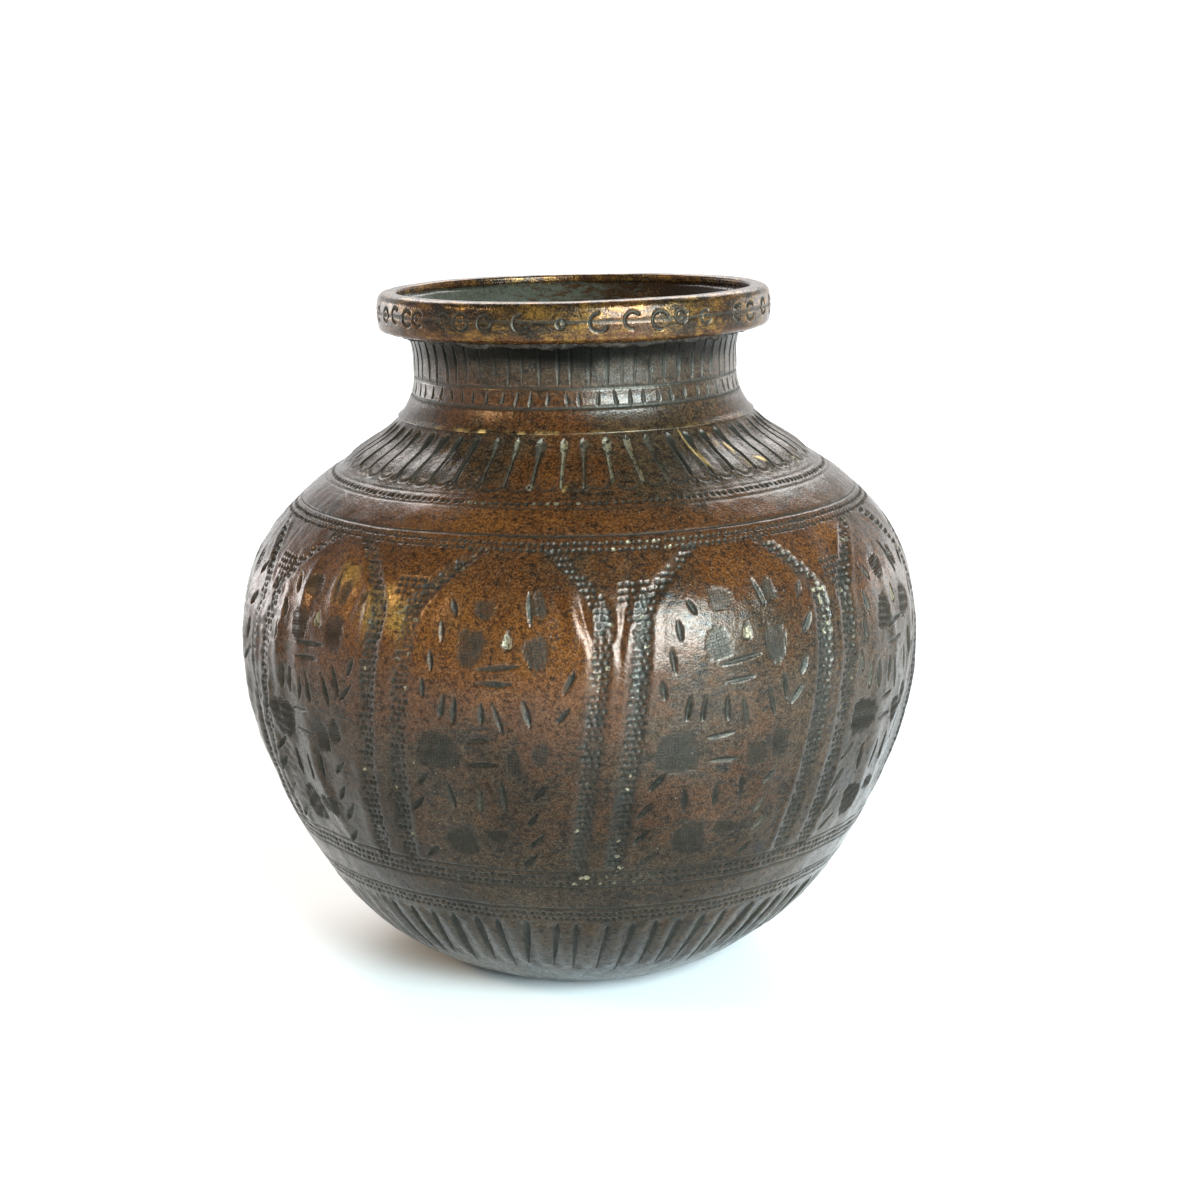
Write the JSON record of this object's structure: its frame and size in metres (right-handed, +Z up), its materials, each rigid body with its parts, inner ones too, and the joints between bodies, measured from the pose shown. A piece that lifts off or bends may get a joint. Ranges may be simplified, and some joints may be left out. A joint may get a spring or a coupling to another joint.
{
  "type": "lota water pot",
  "caption": "Round-bellied metal water pot with a flat foot, a drawn-in neck, a flared mouth and a thick rim ring, beaten from sheet in sections and brazed together.",
  "frame": {"origin": "centre of the foot, in the plane the pot stands on", "axes": "+Z up the axis of the pot, out of the mouth; the pot is round, so X and Y are alike"},
  "size_m": [0.13, 0.13, 0.1305],
  "materials": {
    "bowl_metal": "aged bronze-brown patina, worn",
    "shoulder_metal": "aged orange-brown patina, worn",
    "neck_metal": "dark patina with grey-green dirt",
    "rim_metal": "golden-brown, rubbed by handling",
    "braze_metal": "cast spelter, rough",
    "sooty_braze": "cast spelter, rough and sooty"
  },
  "bodies": {
    "root": {"lower_bowl": "bowl_metal", "upper_body": "shoulder_metal", "neck": "neck_metal", "rim_ring": "rim_metal", "belly_braze": "braze_metal", "neck_braze": "braze_metal", "rim_braze": "sooty_braze"}
  },
  "joints": []
}
